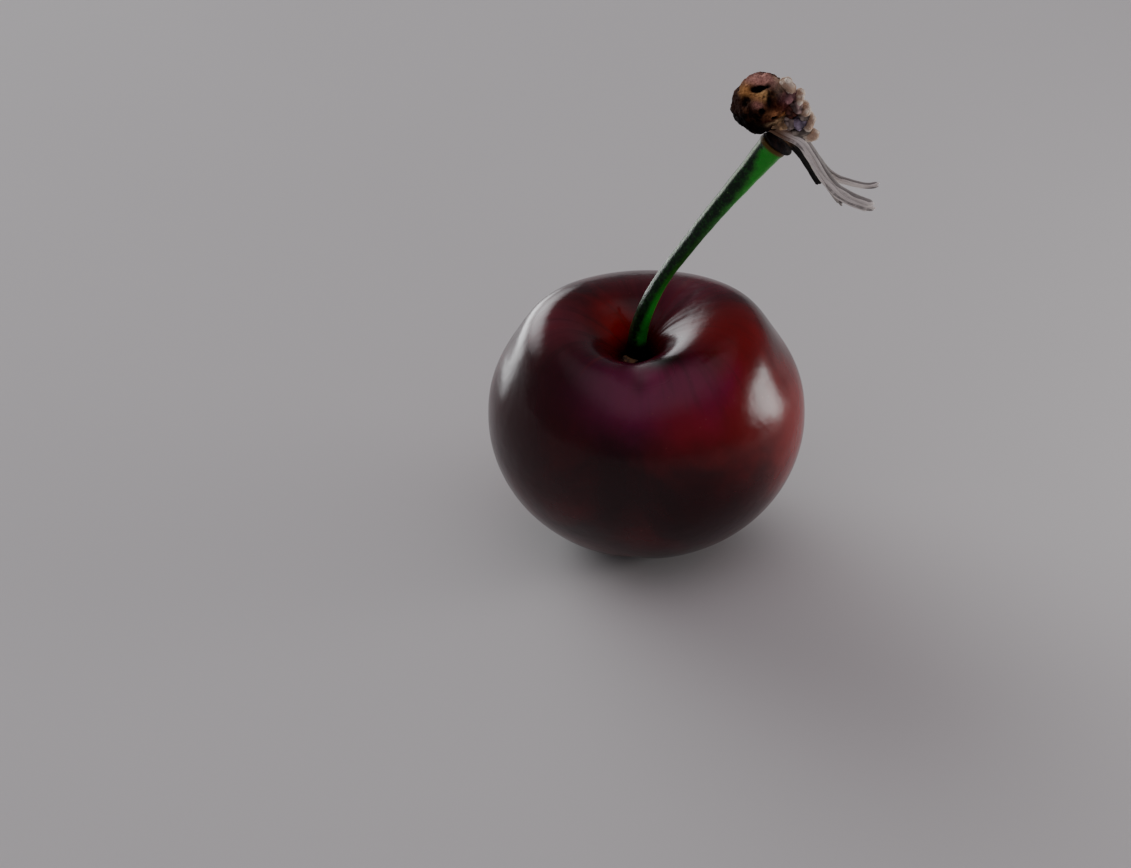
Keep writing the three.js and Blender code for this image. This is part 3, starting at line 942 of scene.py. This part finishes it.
def strip_tree():
    """A flat bundle of fibres that follows a line, each fibre wandering a little and ending by itself."""
    numbers = ("Half Width", "Half Thickness", "Tip Share", "Fray")
    tree, given = geometry_tree("Fibre strip", Float=numbers, Int=("Fibres", "Seed"))
    guide = smooth_curve(tree, given["Geometry"])
    line = add_node(tree, "GeometryNodeCurvePrimitiveLine", {"Start": (0, 0, 0), "End": (1, 0, 0)})
    stepped = evenly_spaced(tree, line.outputs["Curve"], FIBRE_STEPS)
    inputs = {"Geometry": stepped, "Amount": given["Fibres"]}
    copies = add_node(tree, "GeometryNodeDuplicateElements", inputs, domain="SPLINE")
    which = Field(tree, copies.outputs["Duplicate Index"])
    marked = store(tree, copies.outputs["Geometry"], "fibre", which)
    marked = store(tree, marked, "along", along_spline(tree))
    fibre = stored(tree, "fibre")
    share = stored(tree, "along")
    luck = noise(tree, vector_of(tree, fibre * 7.31, given["Seed"] * 3.7, 0.0), 1.0, 0.0)
    reach = share * (1.0 - given["Fray"] * step(luck, 0.2, 0.8))
    inputs = {"Curves": guide, "Factor": reach}
    sample = add_node(tree, "GeometryNodeSampleCurve", inputs, data_type="FLOAT", mode="FACTOR")
    tangent = sample.outputs["Tangent"]
    side = vector_math(tree, "NORMALIZE", vector_math(tree, "CROSS_PRODUCT", (0.0, 1.0, 0.0), tangent))
    through = vector_math(tree, "CROSS_PRODUCT", tangent, side)
    taper = 1.0 - (1.0 - given["Tip Share"]) * share
    row = (fibre + 0.5) / given["Fibres"] * 2.0 - 1.0
    wander = noise(tree, vector_of(tree, share * 3.2, fibre * 5.1, given["Seed"]), 1.0, 2.0) - 0.5
    lift = noise(tree, vector_of(tree, share * 2.4, fibre * 3.3, given["Seed"] + 9.0), 1.0, 2.0) - 0.5
    spread = (row * 0.8 + wander * 0.6) * taper * given["Half Width"]
    raised = lift * 3.0 * given["Half Thickness"]
    place = vector_math(tree, "ADD", sample.outputs["Position"], scaled(tree, side, spread))
    place = vector_math(tree, "ADD", place, scaled(tree, through, raised))
    laid = set_position(tree, marked, place)
    plump = noise(tree, vector_of(tree, share * 5.0, fibre * 2.7, given["Seed"] + 4.0), 1.0, 1.0)
    end_round = 0.25 + calculate(tree, "SQRT", step(1.0 - share, 0.0, 0.03)) * 0.75
    radius = given["Half Width"] * 1.9 / given["Fibres"] * (0.75 + plump * 0.6) * taper * end_round
    end_tree(tree, tube(tree, laid, radius, FIBRE_SIDES), given["Material"])
    return tree


def strip_finish(name, pale, shade):
    """Grey-white fibres, each a little lighter or darker, with painted shade in fine dark grooves along
    them and on nearly black places.
    """
    finish = Finish(name, roughness=0.7, Specular_IOR_Level=0.3)
    tree = finish.tree
    fibre = finish.attribute("fibre")
    along = finish.attribute("along")
    own = calculate(tree, "FRACT", fibre * GOLDEN_STEP)
    stretch = noise(tree, vector_of(tree, along * 14.0, fibre * 4.0, 0.0), 1.0, 4.0, 0.6)
    light = darker(pale, shade)
    tone = step(own + (stretch - 0.5) * 0.9, 0.0, 0.7)
    colour = finish.mix(tone, darker(light, 0.66), light)
    # Painted shade: dark grooves along some fibres.
    painted_groove_shade = step(own + (stretch - 0.5) * 0.4, 0.14, 0.06)
    colour = finish.mix(painted_groove_shade * 0.6, colour, darker(light, 0.16))
    colour = finish.mix(step(along, 0.24, 0.06) * 0.95, colour, linear(138, 102, 76))  # tan at the root
    # Painted shadow at those places.
    for at, size in STRIP_SHADES:
        colour = finish.mix(finish.patch(at, size) * 0.92, colour, linear(14, 9, 8))
    finish.colour(colour)
    finish.bump(finish.noise(5.0, 3.0), 0.04)
    return finish.material


# ---- Lights, floor and camera ----

LIGHT_LAYERS = (1.0, 0.82, 0.64, 0.46)  # the sizes of one soft light's nested panels
WORLD_COLOUR = opaque((0.18, 0.17, 0.185))
FLOOR_REACH = 3.0  # metres, to each side
AIM_LEFT = 7.13  # how far from the fruit's centre the camera aims
AIM_DOWN = 1.77
CAMERA_AWAY = 0.2784  # metres, from where it aims
SENSOR_WIDTH = 36.0  # the camera's, which its lens goes with

# Each soft light: its name, its azimuth and elevation, its roll, its distance in metres, the angles from
# its middle to its ends, its brightness and its colour. Azimuth 0 is in front and 90 to the right.
SOFT_LIGHTS = (
    ("window", -142, 17, 14, 1.2, (34, 22), 5.6, (0.95, 0.975, 1.0)),
    ("low_card", -141, -4, 0, 0.07, (26, 11), 5.5, (0.95, 0.975, 1.0)),
    ("side_card", 94, 5, -24, 0.14, (19, 9), 11.0, (1.0, 0.98, 0.97)),
    ("overhead", 10, 76, 0, 0.9, (46, 32), 0.5, (1.0, 0.86, 0.94)),
)
NOT_ON_FLOOR = "low_card"  # it stands so low that its edge would show on the floor


def soft_light(name, azimuth, elevation, roll, distance, spans, brightness, colour):
    """Nested oval panels that face the fruit, so that the light fades towards its edge."""
    turn = math.radians(azimuth)
    rise = math.radians(elevation)
    level = math.cos(rise)
    towards = Vector((math.sin(turn) * level, -math.cos(turn) * level, math.sin(rise)))
    facing = towards.to_track_quat("Z", "Y").to_matrix() @ Matrix.Rotation(math.radians(roll), 3, "Z")
    lamps = []
    for layer, share in enumerate(LIGHT_LAYERS, 1):
        data = bpy.data.lights.new(f"{name}_{layer}", "AREA")
        data.shape = "ELLIPSE"
        data.size = 2 * distance * math.tan(math.radians(spans[0])) * share
        data.size_y = 2 * distance * math.tan(math.radians(spans[1])) * share
        area = math.pi / 4 * data.size * data.size_y
        data.energy = math.pi * area * brightness / len(LIGHT_LAYERS)
        data.color = colour
        lamp = bpy.data.objects.new(f"{name}_{layer}", data)
        lamp.location = FRUIT_CENTRE + towards * (distance - layer * MM)
        lamp.rotation_euler = facing.to_euler()
        lamp.visible_camera = False
        bpy.context.scene.collection.objects.link(lamp)
        lamps.append(lamp)
    return lamps


def keep_off(lamp, piece):
    """Makes a lamp light everything except one object."""
    unlit = bpy.data.collections.new(f"{lamp.name}_unlit")
    unlit.objects.link(piece)
    unlit.collection_objects[0].light_linking.link_state = "EXCLUDE"
    lamp.light_linking.receiver_collection = unlit


# ---- Settings ----


def length_setting(name, description, default):
    return FloatProperty(name=name, description=description, default=default, unit="LENGTH")


def angle_setting(name, description, default):
    return FloatProperty(name=name, description=description, default=default, unit="ROTATION")


def share_setting(name, description, default):
    return FloatProperty(name=name, description=description, default=default, subtype="FACTOR")


def colour_setting(name, description, default):
    return FloatVectorProperty(name=name, description=description, default=default, subtype="COLOR")


class CherryFruitSettings(bpy.types.PropertyGroup):
    half_width: length_setting("Half width", "Half of the fruit's width from cheek to cheek", 14 * MM)
    half_depth: length_setting("Half depth", "Half of the fruit's depth from suture to back", 13.1 * MM)
    shoulder_reach: length_setting(
        "Shoulder reach", "From the centre to where the stem end would be without its hollow", 12.45 * MM
    )
    apex_reach: length_setting("Apex reach", "From the centre to the blossom end", 12.6 * MM)
    lean_forward: angle_setting("Lean forward", "How far the core leans to the front", math.radians(4.5))
    lean_side: angle_setting("Lean sideways", "How far the core leans to the side", math.radians(-1.2))
    around: IntProperty(name="Around", description="Faces round the fruit", default=300, min=24)
    down: IntProperty(name="Down", description="Rings from stem to blossom end", default=300, min=16)
    roughness: share_setting("Roughness", "How soft reflections in the skin are", 0.2)
    deep: colour_setting("Deep red", "The darkest skin", linear(40, 0, 6))
    red: colour_setting("Red", "The lighter skin", linear(76, 2, 10))
    tan: colour_setting("Foot tan", "The corky spot at the stem's foot", linear(118, 86, 54))


class CherryStemSettings(bpy.types.PropertyGroup):
    thin_radius: length_setting("Thin radius", "The stem's radius where it is thinnest", 0.6 * MM)
    foot_flare: length_setting("Foot flare", "What the foot adds to the radius", 0.27 * MM)
    foot_spread: share_setting("Foot spread", "The share of the length that the foot takes", 0.24)
    top_flare: length_setting("Top flare", "What the top adds to the radius", 0.6 * MM)
    bright: colour_setting("Bright green", "The bright side", linear(44, 158, 42))
    middle: colour_setting("Middle green", "Specks in the dark green", linear(26, 84, 28))
    dark: colour_setting("Dark green", "The shaded side", linear(6, 32, 12))


class CherryDryEndSettings(bpy.types.PropertyGroup):
    bark: colour_setting("Bark", "The knob's brown bark", linear(108, 66, 42))
    scale_pale: colour_setting("Scales", "The dry scales", linear(254, 244, 226))
    # Painted shade down in the scales' folds.
    scale_dark: colour_setting("Folds", "Down in the scales' folds", linear(188, 160, 138))
    strip_pale: colour_setting("Strips", "The dry strips' fibres", linear(254, 246, 240))


class CherryStageSettings(bpy.types.PropertyGroup):
    floor: colour_setting("Floor", "The floor's colour", (0.7, 0.685, 0.675))
    lens: FloatProperty(name="Lens", description="The camera's focal length in millimetres", default=100.0)
    elevation: angle_setting("Elevation", "How far the camera looks down", math.radians(35))


# ---- Operators ----


class CHERRY_OT_fruit(bpy.types.Operator):
    """Make the fruit, from one rule for its profile, and its skin"""

    bl_idname = "cherry.fruit"
    bl_label = "Fruit"

    def execute(self, context):
        settings = context.scene.cherry_fruit
        values = {
            "Half Width": settings.half_width,
            "Half Depth": settings.half_depth,
            "Shoulder Reach": settings.shoulder_reach,
            "Apex Reach": settings.apex_reach,
            "Lean Forward": settings.lean_forward,
            "Lean Side": settings.lean_side,
            "Around": settings.around,
            "Down": settings.down,
            "Material": skin_finish(settings),
        }
        fruit = grow("cherry_fruit", fruit_tree(), values)
        settle(fruit, "skin", "fruit")
        return {"FINISHED"}


class CHERRY_OT_stem(bpy.types.Operator):
    """Make the green stem along its curve, and the corky spot at its foot"""

    bl_idname = "cherry.stem"
    bl_label = "Stem"

    def execute(self, context):
        settings = context.scene.cherry_stem
        foot = hollow_floor(*STEM_FOOT.xy) - Vector((0, 0, STEM_FOOT_SINKS))
        values = {
            "Thin Radius": settings.thin_radius,
            "Foot Flare": settings.foot_flare,
            "Foot Spread": settings.foot_spread,
            "Top Flare": settings.top_flare,
            "Material": stem_finish(settings),
        }
        stem = grow("cherry_stem", stem_tree(), values, line_mesh((foot, *STEM_PATH)))
        settle(stem, "stem", "stem")

        ring_material = foot_ring_finish(context.scene.cherry_fruit)
        at = hollow_floor(*(STEM_FOOT.xy + FOOT_RING_OFFSET)) + Vector((0, 0, FOOT_RING_RISE))
        ring = grow_blob("foot_ring", blob_tree(), ring_material, at, **FOOT_RING)
        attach(ring, BODY)
        return {"FINISHED"}


class CHERRY_OT_knob(bpy.types.Operator):
    """Make the pitted brown knob and the dark collar between it and the stem"""

    bl_idname = "cherry.knob"
    bl_label = "Knob"

    def execute(self, context):
        settings = context.scene.cherry_dry_end
        values = {
            "Half Size": Vector(KNOB_HALF) * MM,
            "Turn": KNOB_TURN,
            "Place": FRUIT_CENTRE + KNOB_CENTRE * MM,
            "Material": knob_finish(settings),
        }
        settle(grow("stem_knob_bark", knob_tree(), values), "bark", "stem_knob")
        collar = grow_blob("collar_bark", blob_tree(), collar_finish(), **COLLAR)
        settle(collar, "bark_dark", "knob_collar")
        return {"FINISHED"}


class CHERRY_OT_scales(bpy.types.Operator):
    """Make the crumpled dry scales down the knob's right side"""

    bl_idname = "cherry.scales"
    bl_label = "Dry scales"

    def execute(self, context):
        settings = context.scene.cherry_dry_end
        pale = tuple(settings.scale_pale)
        dark = tuple(settings.scale_dark)
        tree = blob_tree()
        material = dry_finish("dry_scale", pale, dark)
        for number, (at, half, turn) in enumerate(DRY_SCALES, 1):
            scale = grow_blob(f"dry_scale_{number}", tree, material, at, half, turn, **SCALE_FOLDS)
            settle(scale, "dry_scale", f"bud_scale_{number}")
        for number, (at, half, turn, screen) in enumerate(SCALE_ROOTS, 1):
            tone = linear(*screen)
            name = f"scale_root_{number}"
            material = dry_finish(name, tone, darker(tone, ROOT_SHADE))
            root = grow_blob(name, tree, material, at, half, turn, **ROOT_FOLDS)
            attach(root, BODY)
        return {"FINISHED"}


class CHERRY_OT_strips(bpy.types.Operator):
    """Make the dry strips as bundles of fibres that trail from the scales"""

    bl_idname = "cherry.strips"
    bl_label = "Dry strips"

    def execute(self, context):
        pale = tuple(context.scene.cherry_dry_end.strip_pale)
        tree = strip_tree()
        for number, strip in enumerate(STRIPS, 1):
            name = strip["node"].replace("bract", "dry")
            values = {
                "Half Width": strip["half"][0] * MM,
                "Half Thickness": strip["half"][1] * MM,
                "Fibres": strip["fibres"],
                "Tip Share": strip["tip"],
                "Fray": strip["fray"],
                "Seed": number,
                "Material": strip_finish(name, pale, strip["shade"]),
            }
            settle(grow(name, tree, values, line_mesh(strip["path"])), strip["slot"], strip["node"])
        return {"FINISHED"}


class CHERRY_OT_stage(bpy.types.Operator):
    """Make the pale floor, the soft lights and the camera"""

    bl_idname = "cherry.stage"
    bl_label = "Stage"

    def execute(self, context):
        settings = context.scene.cherry_stage
        scene = context.scene

        mesh = bpy.data.meshes.new("floor")
        signs = ((-1, -1), (1, -1), (1, 1), (-1, 1))
        corners = [(x * FLOOR_REACH, y * FLOOR_REACH, 0) for x, y in signs]
        mesh.from_pydata(corners, [], [(0, 1, 2, 3)])
        floor = bpy.data.objects.new("floor", mesh)
        scene.collection.objects.link(floor)
        finish = Finish("pale_floor", roughness=0.7, Specular_IOR_Level=0.25)
        mottle = finish.noise(0.03, 3.0)
        finish.colour(finish.mix(mottle, darker(settings.floor, 0.96), tuple(settings.floor)))
        floor.data.materials.append(finish.material)

        world = bpy.data.worlds.new("studio")
        world.use_nodes = True
        background = world.node_tree.nodes["Background"]
        background.inputs["Color"].default_value = WORLD_COLOUR
        background.inputs["Strength"].default_value = 1.0
        scene.world = world

        for name, *light in SOFT_LIGHTS:
            for lamp in soft_light(name, *light):
                if name == NOT_ON_FLOOR:
                    keep_off(lamp, floor)

        data = bpy.data.cameras.new("camera")
        data.lens = settings.lens
        data.sensor_width = SENSOR_WIDTH
        camera = bpy.data.objects.new("camera", data)
        scene.collection.objects.link(camera)
        tilt = settings.elevation
        back = Vector((0, -math.cos(tilt), math.sin(tilt)))
        up = Vector((0, math.sin(tilt), math.cos(tilt)))
        aim = FRUIT_CENTRE - Vector((AIM_LEFT, 0, 0)) * MM - up * AIM_DOWN * MM
        camera.location = aim + back * CAMERA_AWAY
        camera.rotation_euler = back.to_track_quat("Z", "Y").to_euler()
        scene.camera = camera
        return {"FINISHED"}


class CHERRY_PT_panel(bpy.types.Panel):
    """Lists the cherry's pieces in the sidebar"""

    bl_idname = "CHERRY_PT_panel"
    bl_label = "Cherry"
    bl_space_type = "VIEW_3D"
    bl_region_type = "UI"
    bl_category = "Cherry"

    def draw(self, context):
        for group in GROUPS:
            settings = getattr(context.scene, group)
            box = self.layout.box()
            for name in settings.bl_rna.properties.keys():
                if name not in ("rna_type", "name"):
                    box.prop(settings, name)
        for operator in OPERATORS:
            self.layout.operator(operator.bl_idname)


GROUPS = {
    "cherry_fruit": CherryFruitSettings,
    "cherry_stem": CherryStemSettings,
    "cherry_dry_end": CherryDryEndSettings,
    "cherry_stage": CherryStageSettings,
}
OPERATORS = (
    CHERRY_OT_stage,
    CHERRY_OT_fruit,
    CHERRY_OT_stem,
    CHERRY_OT_knob,
    CHERRY_OT_scales,
    CHERRY_OT_strips,
)


def register():
    for group in (*GROUPS.values(), *OPERATORS, CHERRY_PT_panel):
        bpy.utils.register_class(group)
    for name, group in GROUPS.items():
        setattr(bpy.types.Scene, name, PointerProperty(type=group))


def unregister():
    for name in GROUPS:
        delattr(bpy.types.Scene, name)
    for group in reversed((*GROUPS.values(), *OPERATORS, CHERRY_PT_panel)):
        bpy.utils.unregister_class(group)


def main():
    register()
    for operator in OPERATORS:
        group, action = operator.bl_idname.split(".")
        getattr(getattr(bpy.ops, group), action)()


if __name__ == "__main__":
    main()
